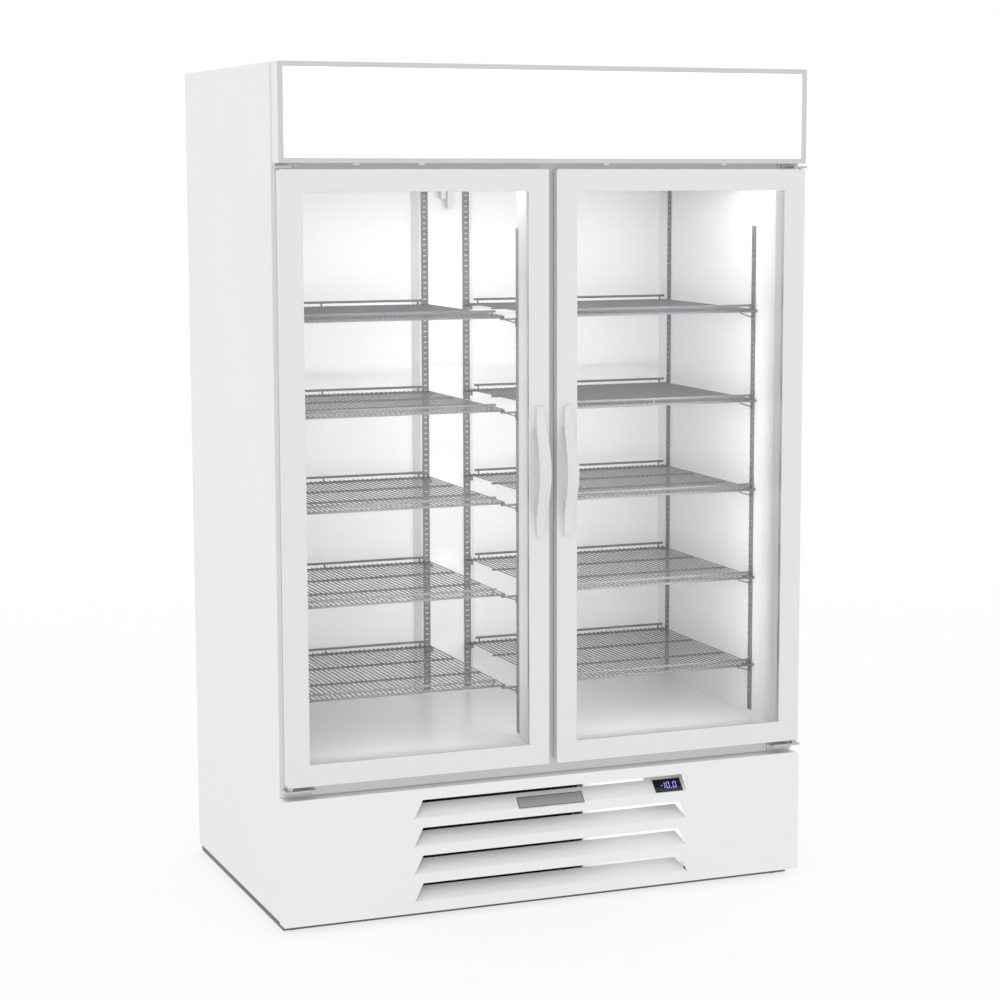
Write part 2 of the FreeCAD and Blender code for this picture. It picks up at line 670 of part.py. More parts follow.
def hinge_bracket_top():
    """Left top hinge: a flag plate over the door with a pin down into it."""
    z0, z1 = DOOR_Z1 + 2, DOOR_Z1 + 7
    plate = box(-BREAKER_HALF - 5, -626, DOOR_FRONT - 2, -BREAKER_PROUD, z0, z1)
    tab = box(-BREAKER_HALF, -600, -BREAKER_PROUD - 3, -BREAKER_PROUD, z0, BREAKER_Z1)
    pin = tube_z(-HINGE_X, HINGE_DEPTH, DOOR_Z1 - BUSHING_LENGTH + 4, z1 - 1, PIN_R)
    return fused([plate, tab, pin])


def hinge_bracket_bottom():
    """Left bottom hinge: a shelf plate with its pin, a closing cam and a screwed flange."""
    z0, z1 = DOOR_Z0 - 12, DOOR_Z0 - 7
    plate = box(-BREAKER_HALF - 5, -588, DOOR_FRONT - 2, -BREAKER_PROUD, z0, z1)
    tab = box(-BREAKER_HALF, -588, -BREAKER_PROUD - 3, -BREAKER_PROUD, BREAKER_Z0 + 2, z1)
    cam = tube_z(-HINGE_X, HINGE_DEPTH, z0, DOOR_Z0 - 0.5, 7.5)
    pin = tube_z(-HINGE_X, HINGE_DEPTH, z0, DOOR_Z0 + BUSHING_LENGTH - 4, PIN_R)
    slot = box(-625, -600, DOOR_FRONT + 12, DOOR_FRONT + 18, z0 - 1, z1 + 1)
    return fused([plate, tab, cam, pin]).cut(slot)


def screw_places():
    """Left-hand hinge screws: one in the top flange, two in the bottom one."""
    return [(-612, DOOR_Z1 + 6), (-638, BREAKER_Z0 + 10), (-600, BREAKER_Z0 + 10)]


def hinge_screws():
    """Pan-head screws through the hinge flanges, shanks ending at the breaker strip."""
    flange = -BREAKER_PROUD - 3
    screws = []
    for x, z in screw_places():
        head = rod_y(x, flange - 2.5, flange, z, 3.4)
        shank = rod_y(x, flange - 1, -BREAKER_PROUD, z, SCREW_R)
        screws.append(fused([head, shank]))
    return screws + [mirrored(s) for s in screws]


def hinge_brackets():
    holes = Part.makeCompound([rod_y(x, -BREAKER_PROUD - 5, 0, z, SCREW_R + PIN_CLEARANCE)
                               for x, z in screw_places()])
    left = [hinge_bracket_top().cut(holes), hinge_bracket_bottom().cut(holes)]
    return left + [mirrored(piece) for piece in left]


# ---- shelving -------------------------------------------------------------------------------
def pilaster(length):
    """Slotted channel drawn standing at the origin, its slotted face towards -Y."""
    face = Part.makeBox(PILASTER_W, 1.2, length, V(-PILASTER_W / 2, 0, 0))
    count = int((length - 10) / SLOT_PITCH)
    slots = [Part.makeBox(SLOT_W, 4, SLOT_H, V(-SLOT_W / 2, -1, 8 + i * SLOT_PITCH))
             for i in range(count)]
    face = face.cut(Part.makeCompound(slots))
    sides = [Part.makeBox(1.2, PILASTER_D, length, V(x, 0, 0))
             for x in (-PILASTER_W / 2, PILASTER_W / 2 - 1.2)]
    return fused([face] + sides)


def turned(shape, angle):
    copy = shape.copy()
    copy.rotate(V(0, 0, 0), V(0, 0, 1), angle)
    return copy


def shelf_pilasters():
    """Eight channels: four at the corners of each bay."""
    front = pilaster(FRONT_PILASTER_Z1 - PILASTER_Z0)
    rear = pilaster(REAR_PILASTER_Z1 - PILASTER_Z0)
    wall = LINER_HALF - FIT
    placed = [
        moved(turned(front, 90), x=-wall + PILASTER_D, y=FRONT + WALL_PILASTER_DEPTH,
              z=PILASTER_Z0),
        moved(turned(rear, 90), x=-wall + PILASTER_D, y=FRONT + WALL_REAR_PILASTER_DEPTH,
              z=PILASTER_Z0),
        moved(turned(front, -90), x=-POST_HALF, y=FRONT + POST_PILASTER_DEPTH, z=PILASTER_Z0),
        moved(rear, x=-CENTRE_PILASTER_X, y=FRONT + DUCT_DEPTH - FIT - PILASTER_D,
              z=PILASTER_Z0),
    ]
    return placed + [mirrored(p) for p in placed]


def tier_heights():
    return [TIER_Z0 + i * TIER_PITCH for i in range(TIERS)]


def strut(start, end, r):
    """Round rod between two (x, depth, z) points."""
    base, tip = (V(x, FRONT + depth, z) for x, depth, z in (start, end))
    return Part.makeCylinder(r, base.distanceToPoint(tip), base, tip - base)


def side_clip(face, reach, depth, top):
    """Hooked clip on the channel face at x = face, with a ledge as high as top."""
    inwards = math.copysign(2, reach - face)
    ledge = box(min(face, reach), max(face, reach), depth - 5, depth + 5, top - 4, top)
    tab = box(min(face, face + inwards), max(face, face + inwards), depth - 5, depth + 5,
              top - 20, top)
    return [ledge, tab]


def shelf_clips():
    """Four clips under each shelf.

    The wall clips carry the outer wires and the others carry the front and rear rods. A
    slanting wire runs from each front clip up to the front rod.
    """
    wall_face = LINER_HALF - FIT - PILASTER_D
    duct_face = DUCT_DEPTH - FIT - PILASTER_D
    post_depth = POST_PILASTER_DEPTH + 4
    clips = []
    for z in tier_heights():
        front_rod = z - ROD_R - STRUT_R
        wires = z + WIRE_SEAT
        wall = side_clip(wall_face, SHELF_X1 - 22, WALL_PILASTER_DEPTH, wires)
        wall.append(strut((SHELF_X1 - 44, SHELF_FRONT, front_rod),
                          (wall_face - 1, WALL_PILASTER_DEPTH, z - 17), STRUT_R))
        post = side_clip(POST_HALF, SHELF_X0 + 10, post_depth, z - ROD_R)
        post.append(strut((SHELF_X0 + 2, SHELF_FRONT, front_rod),
                          (POST_HALF + 1, post_depth, z - 15), STRUT_R))
        clips.append(fused(wall))
        clips.append(fused(post))
        clips.append(fused(side_clip(wall_face, SHELF_X1 - 22, WALL_REAR_PILASTER_DEPTH, wires)))
        clips.append(box(CENTRE_PILASTER_X - 8, CENTRE_PILASTER_X + 8, SHELF_BACK - 8,
                         duct_face, z - ROD_R - 9, z - ROD_R))
    return clips + [mirrored(c) for c in clips]


def surface_wire(x):
    """One eight-sided shelf wire, running from front to back."""
    radius = WIRE_D / 2 / math.cos(math.pi / 8)
    centre_z = WIRE_SEAT + WIRE_D / 2
    angles = [math.pi / 8 + math.pi / 4 * i for i in range(8)]
    outline = [(x + radius * math.cos(a), FRONT + SHELF_FRONT - WIRE_OVERHANG,
                centre_z + radius * math.sin(a)) for a in angles]
    return prism(outline, (0, SHELF_BACK - SHELF_FRONT + 2 * WIRE_OVERHANG, 0))


def stop_rail(ends, depth):
    """Raised rail at the front or rear, on three short posts."""
    posts = [tube_z(x, depth, 0, STOP_RISE, 2) for x in STOP_POSTS]
    return [rod_x(ends[0], ends[1], depth, STOP_RISE, ROD_R)] + posts


def wire_shelf():
    """Right-hand shelf at z = 0: four cross rods, surface wires on top and two stop rails."""
    x0, x1 = SHELF_X0, SHELF_X1
    d0, d1 = SHELF_FRONT, SHELF_BACK
    rods = [rod_x(x0, x1, d, 0, ROD_R) for d in (d0, d1)]
    rods += [rod_x(x0, x1, d, 0, CROSS_ROD_R) for d in CROSS_ROD_DEPTHS]
    first = (x0 + x1) / 2 - WIRE_PITCH * (WIRE_COUNT - 1) / 2
    rods += [surface_wire(first + i * WIRE_PITCH) for i in range(WIRE_COUNT)]
    rods += stop_rail(FRONT_RAIL_ENDS, d0) + stop_rail(REAR_RAIL_ENDS, d1)
    return rods[0].multiFuse(rods[1:])


def shelves():
    """The right bay's shelves, one solid per tier."""
    shelf = wire_shelf()
    return [moved(shelf, z=z) for z in tier_heights()]


# ---- evaporator compartment -----------------------------------------------------------------
EVAP_HALF = 570.0
EVAP_FRONT = 120.0
EVAP_BACK = 700.0
EVAP_Z0 = 1732.0
EVAP_Z1 = 1940.0
DRAIN_DEPTH = 703.0
DRAIN_R = 7.0


def evaporator_housing():
    """Sheet metal box under the roof, with two fan openings in its floor."""
    outer = box(-EVAP_HALF, EVAP_HALF, EVAP_FRONT, EVAP_BACK - 10, EVAP_Z0, EVAP_Z1)
    inner = box(-EVAP_HALF + 1.5, EVAP_HALF - 1.5, EVAP_FRONT + 1.5, EVAP_BACK - 11.5,
                EVAP_Z0 + 1.5, EVAP_Z1 + 1)
    holes = [tube_z(s * EVAPORATOR_FAN_X, EVAPORATOR_FAN_DEPTH, EVAP_Z0 - 1, EVAP_Z0 + 5,
                    EVAPORATOR_FAN_R + 8) for s in (-1, 1)]
    vents = [box(s * 300 - 190, s * 300 + 190, EVAP_BACK - 20, EVAP_BACK, z, z + 14)
             for s in (-1, 1) for z in (1790, 1820, 1850)]
    return outer.cut(inner).cut(Part.makeCompound(holes + vents))


def comb(x0, x1, d0, d1, z0, z1, pitch, fin):
    """Finned block: a thin spine with fins standing forwards from it."""
    points = [(x0, FRONT + d1, z0), (x0, FRONT + d0, z0)]
    count = int((x1 - x0 - fin) / pitch)
    for i in range(count):
        x = x0 + i * pitch
        points += [(x + fin, FRONT + d0, z0), (x + fin, FRONT + d1 - 3, z0),
                   (x + pitch, FRONT + d1 - 3, z0), (x + pitch, FRONT + d0, z0)]
    end = x0 + count * pitch + fin
    points += [(end, FRONT + d0, z0), (end, FRONT + d1, z0)]
    return prism(points, (0, 0, z1 - z0))


def coil_with_bends(x0, x1, d0, d1, z0, z1, pitch, rows):
    """Finned block with the return bends of its tubes at both ends."""
    pieces = [comb(x0, x1, d0, d1, z0, z1, pitch, 1.6)]
    middle = FRONT + (d0 + d1) / 2
    step = (z1 - z0) / rows
    for i in range(rows):
        z = z0 + step * (i + 0.5)
        for x, away in ((x0, -1), (x1 - (x1 - x0 - 1.6) % pitch, 1)):
            if i % 2 == (0 if away > 0 else 1) or i + 1 >= rows:
                continue
            start = (x, middle, z)
            bend = [start, (x + away * 22, middle, z), (x + away * 22, middle, z + step),
                    (x, middle, z + step)]
            pieces.append(bent_tube(bend, 4.5, 8))
    return pieces


def evaporator_coil():
    return coil_with_bends(-470, 470, 380, 600, 1770, 1914, 9.0, 4)


def fan_guard_z(x, depth, z, r):
    """Flat wire guard: four rings joined by a cross."""
    parts = []
    for ring_r in (r, r * 0.76, r * 0.52, r * 0.28):
        parts.append(tube_z(x, depth, z, z + 2.4, ring_r + 1.5)
                     .cut(tube_z(x, depth, z - 1, z + 4, ring_r - 1.5)))
    parts.append(box(x - r, x + r, depth - 1.5, depth + 1.5, z, z + 2.4))
    parts.append(box(x - 1.5, x + 1.5, depth - r, depth + r, z, z + 2.4))
    return fused(parts)


def evaporator_fan_guards():
    return [fan_guard_z(s * EVAPORATOR_FAN_X, EVAPORATOR_FAN_DEPTH, EVAP_Z0 - 2.6,
                        EVAPORATOR_FAN_R + 12) for s in (-1, 1)]


def axial_fan(r, hub_r, width, blades):
    """Fan drawn at the origin, turning about +Z, with a bore for the motor shaft."""
    hub = Part.makeCylinder(hub_r, width, V(0, 0, -width / 2), V(0, 0, 1))
    parts = [hub]
    for i in range(blades):
        blade = Part.makeBox(r - hub_r + 4, r * 0.62, 1.6, V(hub_r - 4, -r * 0.31, -0.8))
        rim = Part.makeCylinder(r, width * 2, V(0, 0, -width), V(0, 0, 1))
        blade.rotate(V(0, 0, 0), V(1, 0, 0), 26)
        blade = blade.common(rim)
        blade.rotate(V(0, 0, 0), V(0, 0, 1), 360.0 * i / blades)
        parts.append(blade)
    bore = Part.makeCylinder(SHAFT_R + PIN_CLEARANCE, width * 2, V(0, 0, -width), V(0, 0, 1))
    return fused(parts).cut(bore)


def fan_motor(r, length, shaft):
    """Motor drawn at the origin: a round body with its shaft below."""
    body = Part.makeCylinder(r, length, V(0, 0, 0), V(0, 0, 1))
    axle = Part.makeCylinder(SHAFT_R, shaft + 5, V(0, 0, -shaft), V(0, 0, 1))
    return fused([body, axle])


def evaporator_fan(side):
    fan = axial_fan(EVAPORATOR_FAN_R, 22, 20, 5)
    return moved(fan, x=side * EVAPORATOR_FAN_X, y=FRONT + EVAPORATOR_FAN_DEPTH, z=1770)


def evaporator_fan_motors():
    """Two motors standing over the fans, each hung from a cross bar of the housing."""
    motors = []
    for side in (-1, 1):
        x = side * EVAPORATOR_FAN_X
        motor = moved(fan_motor(26, 44, 30), x=x, y=FRONT + EVAPORATOR_FAN_DEPTH, z=1790)
        bar = box(x - 12, x + 12, EVAP_FRONT + 1.6, 372, 1832, 1838)
        legs = [box(x - 12, x + 12, d, d + 4, EVAP_Z0 + 1.6, 1838)
                for d in (EVAP_FRONT + 1.6, 368)]
        motors.append(fused([motor, bar] + legs))
    return motors


def interior_lamp():
    """LED bar behind the header wall, above the door opening."""
    body = box(-590, 590, HEADER_WALL + FIT + LINER, 72, 1736, 1748)
    lens = rod_x(-584, 584, 58, 1737, 9)
    return fused([body, lens])


def air_sensor():
    """Return-air sensor cage and its bracket, hung in front of the rear duct."""
    clip = box(-18, -4, 664, 680, 1685, 1731)
    cage = box(-1, 14, 664, 680, 1660, 1731)
    bar = box(-18, 14, 664, 680, 1722, 1731.5)
    cage = cage.makeFillet(6, [e for e in cage.Edges if e.BoundBox.ZMax < 1661
                               and e.BoundBox.YLength > 10])
    return fused([clip, cage, bar])


def drain_tube():
    """Defrost drain inside the rear duct, from the evaporator to the pan below."""
    outer = tube_z(0, DRAIN_DEPTH, 76, 1726, DRAIN_R)
    return outer.cut(tube_z(0, DRAIN_DEPTH, 70, 1730, DRAIN_R - 1.5))


# ---- refrigeration unit ---------------------------------------------------------------------
def condensate_pan():
    z0 = COMPARTMENT_FLOOR + FIT
    tray = box(-150, 150, 640, 750, z0, z0 + 46)
    return tray.cut(box(-148, 148, 642, 748, z0 + 2, z0 + 60))


def compressor():
    """Hermetic compressor: a rounded can on a foot plate."""
    z0 = COMPARTMENT_FLOOR + 18
    can = tube_z(60, 420, z0 + 4, z0 + 172, 88)
    can = can.makeFillet(38, [e for e in can.Edges if e.Length > 500
                              and e.BoundBox.ZLength < 1])
    plate = box(-50, 170, 345, 495, z0, z0 + 5)
    stubs = [Part.makeCylinder(6, 60, V(60, FRONT + 420, z0 + h), V(1, 0.4, 0))
             for h in (70, 110)]
    reach = [Part.makeCylinder(6, 40, V(140, FRONT + 450, z0 + h), V(1, 0, 0)) for h in (70, 110)]
    return fused([can, plate] + stubs + reach)


def compressor_mounts():
    """Four rubber grommets under the compressor plate."""
    z0 = COMPARTMENT_FLOOR + FIT
    return [tube_z(x, d, z0, COMPARTMENT_FLOOR + 18 - FIT, 13)
            for x in (-32, 152) for d in (363, 477)]


def condenser_coil():
    return coil_with_bends(-330, 78, 12, 62, 44, 300, 7.0, 8)


def condenser_shroud():
    """Sheet metal box between the coil and its fan, with a round outlet."""
    d0, d1 = 66, 150
    outer = box(-330, 80, d0, d1, 40, 304)
    inner = box(-328.5, 78.5, d0 - 1, d1 - 1.5, 41.5, 302.5)
    outlet = rod_y(CONDENSER_FAN_X, d0, d1 + 5, CONDENSER_FAN_Z, CONDENSER_FAN_R + 6)
    return outer.cut(inner).cut(outlet)


def condenser_fan():
    fan = axial_fan(CONDENSER_FAN_R, 26, 24, 5)
    fan.rotate(V(0, 0, 0), V(1, 0, 0), -90)
    return moved(fan, x=CONDENSER_FAN_X, y=FRONT + 150, z=CONDENSER_FAN_Z)


def condenser_fan_motor():
    """Motor behind the fan on a welded stand."""
    motor = fan_motor(34, 60, 30)
    motor.rotate(V(0, 0, 0), V(1, 0, 0), -90)
    motor = moved(motor, x=CONDENSER_FAN_X, y=FRONT + 176, z=CONDENSER_FAN_Z)
    stand = box(CONDENSER_FAN_X - 20, CONDENSER_FAN_X + 20, 196, 200, COMPARTMENT_FLOOR + FIT,
                CONDENSER_FAN_Z)
    foot_plate = box(CONDENSER_FAN_X - 30, CONDENSER_FAN_X + 30, 180, 226,
                     COMPARTMENT_FLOOR + FIT, COMPARTMENT_FLOOR + 3)
    return fused([motor, stand, foot_plate])


def filter_drier():
    """Copper capsule in the liquid line."""
    x, z = 220, 120
    body = rod_y(x, 300, 390, z, 14)
    body = body.makeFillet(9, [e for e in body.Edges if e.Length > 80])
    ends = [rod_y(x, 288, 402, z, 5)]
    return fused([body] + ends)


def refrigerant_lines():
    """Copper tubes between the compressor, condenser, drier and evaporator."""
    y = FRONT
    hot = bent_tube([(182, y + 450, COMPARTMENT_FLOOR + 88), (198, y + 450, 111),
                     (198, y + 240, 111), (198, y + 240, 270), (100, y + 240, 270),
                     (100, y + 30, 270)], 4, 12)
    liquid = bent_tube([(220, y + 404, 120), (220, y + 560, 120), (400, y + 560, 120),
                        (400, y + 705, 120), (400, y + 705, 320)], 4, 12)
    return [hot, liquid]


def electrical_box():
    """White box for the controls, to the right of the condenser."""
    body = box(110, 420, 30, 150, 40, 300)
    uprights = [e for e in body.Edges if e.BoundBox.ZLength > 200]
    body = body.makeFillet(4, uprights)
    return body.cut(box(112, 418, 32, 151, 42, 298))


def power_cord():
    """Supply cord, run along the compartment floor to a plug parked at the back."""
    y = FRONT
    z = COMPARTMENT_FLOOR + 6
    cord = bent_tube([(421, y + 100, 80), (480, y + 100, 80), (480, y + 100, z),
                      (480, y + 560, z), (550, y + 560, z), (550, y + 250, z),
                      (595, y + 250, z), (595, y + 690, z)], 4.5, 14)
    plug = box(580, 610, 689, 722, z - 5, z + 20)
    return fused([cord, plug])


# ---- assembly -------------------------------------------------------------------------------
def as_shape(made):
    if isinstance(made, list):
        return Part.makeCompound([solid for piece in made for solid in piece.Solids])
    return made


def both_doors():
    """Door pieces drawn for the left door and mirrored for the right."""
    pieces = {}
    for name, build in (("door_frame", door_frame), ("door_glass", door_glass),
                        ("glass_spacer", door_spacer), ("door_gasket", door_gasket),
                        ("door_handle", door_handle), ("hinge_bushings", door_bushings)):
        left = as_shape(build())
        pieces[name + "_left"] = left
        pieces[name + "_right"] = mirrored(left)
    return pieces


def assembly():
    left_panel = side_panel()
    right_shelves = as_shape(shelves())
    pieces = {
        "side_panel_left": left_panel,
        "side_panel_right": mirrored(left_panel),
        "back_panel": back_panel(),
        "top_panel": top_panel(),
        "base_frame": base_frame(),
        "insulation": insulation(),
        "inner_liner": inner_liner(),
        "breaker_frame": breaker_frame(),
        "center_mullion": center_mullion(),
        "rear_duct": rear_duct(),
        "header_housing": header_housing(),
        "sign_frame": sign_frame(),
        "sign_panel": sign_panel(),
        "sign_lamps": sign_lamps(),
        "grille_panel": grille_panel(),
        "display_module": display_module(),
        "badge_plate": badge_plate(),
        "hinge_brackets": hinge_brackets(),
        "hinge_screws": hinge_screws(),
        "shelf_pilasters": shelf_pilasters(),
        "shelf_clips": shelf_clips(),
        "shelves_left_bay": mirrored(right_shelves),
        "shelves_right_bay": right_shelves,
        "evaporator_housing": evaporator_housing(),
        "evaporator_coil": evaporator_coil(),
        "evaporator_fan_guards": evaporator_fan_guards(),
        "evaporator_fan_motors": evaporator_fan_motors(),
        "evaporator_fan_left": evaporator_fan(-1),
        "evaporator_fan_right": evaporator_fan(1),
        "interior_lamp": interior_lamp(),
        "air_sensor": air_sensor(),
        "drain_tube": drain_tube(),
        "condensate_pan": condensate_pan(),
        "compressor": compressor(),
        "compressor_mounts": compressor_mounts(),
        "condenser_coil": condenser_coil(),
        "condenser_shroud": condenser_shroud(),
        "condenser_fan": condenser_fan(),
        "condenser_fan_motor": condenser_fan_motor(),
        "filter_drier": filter_drier(),
        "refrigerant_lines": refrigerant_lines(),
        "electrical_box": electrical_box(),
        "power_cord": power_cord(),
    }
    pieces.update(both_doors())
    for name, (x, depth) in foot_places().items():
        pieces[name] = foot(x, depth)
    return pieces


os.makedirs("parts", exist_ok=True)
for node, made in assembly().items():
    as_shape(made).exportStep("parts/" + node + ".step")
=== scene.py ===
"""Looks of the glass door merchandiser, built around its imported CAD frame.

Metres, +Z up, doors facing -Y. Places on the object are worked out from the CAD nodes' boxes and
faces. Only the camera and the two studio lights stand at fixed places.
"""

import json
import math

import bmesh
import bpy
from mathutils import Matrix, Vector


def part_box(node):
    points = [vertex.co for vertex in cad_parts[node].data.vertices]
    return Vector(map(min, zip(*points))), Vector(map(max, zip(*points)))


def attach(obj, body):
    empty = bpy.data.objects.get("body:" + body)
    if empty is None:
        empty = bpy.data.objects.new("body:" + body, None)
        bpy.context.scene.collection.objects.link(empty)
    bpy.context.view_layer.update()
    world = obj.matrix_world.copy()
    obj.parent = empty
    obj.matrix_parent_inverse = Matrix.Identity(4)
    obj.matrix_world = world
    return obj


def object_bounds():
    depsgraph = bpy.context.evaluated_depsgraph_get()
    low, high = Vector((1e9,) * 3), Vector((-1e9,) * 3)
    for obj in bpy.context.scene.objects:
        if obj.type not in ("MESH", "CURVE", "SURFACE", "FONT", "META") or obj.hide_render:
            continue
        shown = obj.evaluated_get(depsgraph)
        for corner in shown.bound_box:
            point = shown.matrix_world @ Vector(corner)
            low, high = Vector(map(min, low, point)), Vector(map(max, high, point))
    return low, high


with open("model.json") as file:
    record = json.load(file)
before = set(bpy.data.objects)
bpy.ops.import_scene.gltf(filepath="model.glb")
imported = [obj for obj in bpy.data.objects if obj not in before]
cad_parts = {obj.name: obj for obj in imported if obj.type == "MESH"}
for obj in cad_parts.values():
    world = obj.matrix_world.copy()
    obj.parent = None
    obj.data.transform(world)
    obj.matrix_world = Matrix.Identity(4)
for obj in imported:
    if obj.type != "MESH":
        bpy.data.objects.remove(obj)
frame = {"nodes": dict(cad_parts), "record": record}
cad_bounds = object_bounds()
NODES = frame["nodes"]
MM = 0.001


# ---- material building ----------------------------------------------------------------------
class Surface:
    """One node-based material, with helpers that add procedural detail measured in metres."""

    def __init__(self, name, colour, roughness, metallic=0.0, specular=0.5):
        self.material = bpy.data.materials.new(name)
        self.material.use_nodes = True
        self.nodes = self.material.node_tree.nodes
        self.links = self.material.node_tree.links
        self.shader = self.nodes["Principled BSDF"]
        self.output = self.nodes["Material Output"]
        self.colour = colour
        self.shader.inputs["Base Color"].default_value = (*colour, 1)
        self.shader.inputs["Roughness"].default_value = roughness
        self.shader.inputs["Metallic"].default_value = metallic
        self.shader.inputs["Specular IOR Level"].default_value = specular
        self.roughness = roughness
        self.place = self.nodes.new("ShaderNodeTexCoord").outputs["Object"]
        self.material.diffuse_color = (*colour, 1)

    def noise(self, size, detail=3.0, stretch=(1, 1, 1)):
        """Noise whose features are about size metres, longer where stretch is above one."""
        mapping = self.nodes.new("ShaderNodeMapping")
        mapping.inputs["Scale"].default_value = [1 / (size * s) for s in stretch]
        self.links.new(self.place, mapping.inputs["Vector"])
        texture = self.nodes.new("ShaderNodeTexNoise")
        texture.inputs["Scale"].default_value = 1
        texture.inputs["Detail"].default_value = detail
        self.links.new(mapping.outputs["Vector"], texture.inputs["Vector"])
        return texture.outputs["Fac"]

    def spread(self, value, low, high, from_low=0.3, from_high=0.7):
        """Value remapped to run from low to high."""
        remap = self.nodes.new("ShaderNodeMapRange")
        remap.inputs["From Min"].default_value = from_low
        remap.inputs["From Max"].default_value = from_high
        remap.inputs["To Min"].default_value = low
        remap.inputs["To Max"].default_value = high
        self.links.new(value, remap.inputs["Value"])
        return remap.outputs["Result"]

    def mottle(self, size, other, amount=1.0, stretch=(1, 1, 1)):
        """Colour drifts between its own and another one."""
        mix = self.nodes.new("ShaderNodeMix")
        mix.data_type = "RGBA"
        mix.inputs["A"].default_value = (*self.colour, 1)
        mix.inputs["B"].default_value = (*other, 1)
        share = self.spread(self.noise(size, 4, stretch), 0, amount)
        self.links.new(share, mix.inputs["Factor"])
        self.links.new(mix.outputs["Result"], self.shader.inputs["Base Color"])
        return self

    def uneven_gloss(self, size, amount, stretch=(1, 1, 1)):
        """Roughness drifts by amount either way."""
        low, high = self.roughness - amount, self.roughness + amount
        value = self.spread(self.noise(size, 4, stretch), low, high)
        self.links.new(value, self.shader.inputs["Roughness"])
        return self

    def relief(self, size, depth, detail=3.0, stretch=(1, 1, 1)):
        """Fine bumps of the given feature size and depth."""
        self.bump(self.noise(size, detail, stretch), depth)
        return self

    def bump(self, height, depth):
        """Height from 0 to 1 becomes bumps of the given depth, on top of any earlier ones."""
        bump = self.nodes.new("ShaderNodeBump")
        bump.inputs["Distance"].default_value = depth
        self.links.new(height, bump.inputs["Height"])
        earlier = self.shader.inputs["Normal"].links
        if earlier:
            self.links.new(earlier[0].from_socket, bump.inputs["Normal"])
        self.links.new(bump.outputs["Normal"], self.shader.inputs["Normal"])

    def coat(self, weight, roughness):
        """Clear lacquer."""
        self.shader.inputs["Coat Weight"].default_value = weight
        self.shader.inputs["Coat Roughness"].default_value = roughness
        return self

    def glow(self, colour, strength):
        """The surface gives light of its own."""
        self.shader.inputs["Emission Color"].default_value = (*colour, 1)
        self.shader.inputs["Emission Strength"].default_value = strength
        return self


def scaled(colour, factor):
    """The same hue, darker or lighter."""
    return tuple(min(1.0, c * factor) for c in colour)


def powder_coat(name, colour, roughness=0.36):
    """Powder-coated sheet: orange peel about 2 mm across and slightly uneven gloss."""
    surface = Surface(name, colour, roughness)
    surface.mottle(0.5, scaled(colour, 0.985))
    surface.uneven_gloss(0.25, 0.01)
    return surface.relief(0.0022, 0.00002, 2).relief(0.3, 0.0002, 1)


def moulded_plastic(name, colour, roughness=0.42):
    """Moulded plastic with a fine spark-eroded grain."""
    surface = Surface(name, colour, roughness)
    surface.mottle(0.12, scaled(colour, 0.96))
    surface.uneven_gloss(0.03, 0.05)
    return surface.relief(0.0007, 0.000012, 2)


def brushed_metal(name, colour, roughness=0.3, grain=(30, 1, 1), metallic=1.0):
    """Metal with a brushed grain that runs along the long direction of grain."""
    surface = Surface(name, colour, roughness, metallic=metallic)
    surface.mottle(0.0006, scaled(colour, 0.8), 0.7, grain)
    surface.uneven_gloss(0.001, 0.08, grain)
    return surface.relief(0.0005, 0.00001, 3, grain)


def galvanised_steel(name, colour):
    """Zinc coating with a soft spangle."""
    surface = Surface(name, colour, 0.42, metallic=1.0)
    cells = surface.nodes.new("ShaderNodeTexVoronoi")
    cells.inputs["Scale"].default_value = 90
    surface.links.new(surface.place, cells.inputs["Vector"])
    tone = surface.nodes.new("ShaderNodeSeparateColor")
    surface.links.new(cells.outputs["Color"], tone.inputs["Color"])
    mix = surface.nodes.new("ShaderNodeMix")
    mix.data_type = "RGBA"
    mix.inputs["A"].default_value = (*scaled(colour, 0.86), 1)
    mix.inputs["B"].default_value = (*scaled(colour, 1.1), 1)
    surface.links.new(tone.outputs["Red"], mix.inputs["Factor"])
    surface.links.new(mix.outputs["Result"], surface.shader.inputs["Base Color"])
    surface.links.new(surface.spread(tone.outputs["Green"], 0.34, 0.52, 0, 1),
                      surface.shader.inputs["Roughness"])
    return surface.relief(0.0012, 0.000015)


def coated_wire(name, colour):
    """Epoxy-coated wire: a thick grey coat with uneven gloss and a slightly lumpy skin."""
    surface = Surface(name, colour, 0.38)
    surface.mottle(0.02, scaled(colour, 0.86))
    surface.uneven_gloss(0.01, 0.07)
    return surface.relief(0.0015, 0.00004, 3)


def soft_rubber(name, colour):
    """Matte rubber with bloom and a fine drawn texture."""
    surface = Surface(name, colour, 0.72, specular=0.3)
    surface.mottle(0.04, scaled(colour, 1.25))
    surface.uneven_gloss(0.02, 0.08)
    return surface.relief(0.0009, 0.00003)


def cast_enamel(name, colour):
    """Black enamel over a pressed and welded can."""
    surface = Surface(name, colour, 0.33)
    surface.mottle(0.03, scaled(colour, 1.9))
    surface.uneven_gloss(0.02, 0.09)
    return surface.relief(0.004, 0.00012, 4).coat(0.4, 0.2)


def copper_pipe(name, colour):
    """Drawn copper, browned in patches by handling and brazing."""
    surface = Surface(name, colour, 0.32, metallic=1.0)
    surface.mottle(0.02, (0.32, 0.13, 0.07), 0.6)
    surface.uneven_gloss(0.008, 0.1)
    return surface.relief(0.0008, 0.00001)


def foam(name, colour):
    """Cut polyurethane foam with open cells."""
    surface = Surface(name, colour, 0.95, specular=0.1)
    surface.mottle(0.03, scaled(colour, 0.8))
    return surface.relief(0.0015, 0.0006, 4)


